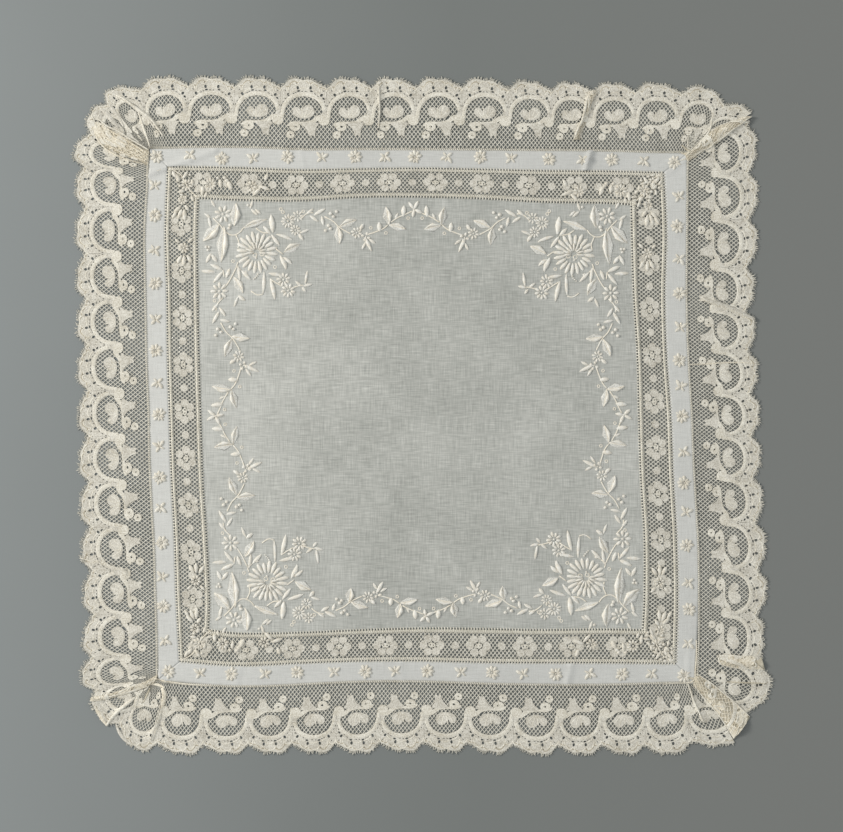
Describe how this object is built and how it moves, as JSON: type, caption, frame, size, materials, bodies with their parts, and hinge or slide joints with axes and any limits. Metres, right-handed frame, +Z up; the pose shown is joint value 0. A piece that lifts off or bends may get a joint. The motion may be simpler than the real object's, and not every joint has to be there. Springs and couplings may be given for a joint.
{
  "type": "linen handkerchief",
  "caption": "Square handkerchief of sheer embroidered linen, laid flat, framed by net insertion and a linen band, with a wide scalloped lace edging pleated at its corners.",
  "frame": {"origin": "on the surface that the cloth lies on, under the middle of its outline", "axes": "+Z up from the surface, +Y towards the top side of the cloth, +X towards its right side"},
  "size_m": [0.3398, 0.3332, 0.0033],
  "materials": {
    "linen": "sheer plain-weave linen, raised cream embroidery",
    "insertion": "fine cotton net lace",
    "band": "doubled white linen, matt",
    "edging": "cream cotton net lace with dense flowers"
  },
  "bodies": {
    "root": {"centre_panel": "linen", "insertion_top": "insertion", "insertion_right": "insertion", "insertion_bottom": "insertion", "insertion_left": "insertion", "band_top": "band", "band_right": "band", "band_bottom": "band", "band_left": "band", "lace_edging": "edging"}
  },
  "joints": []
}
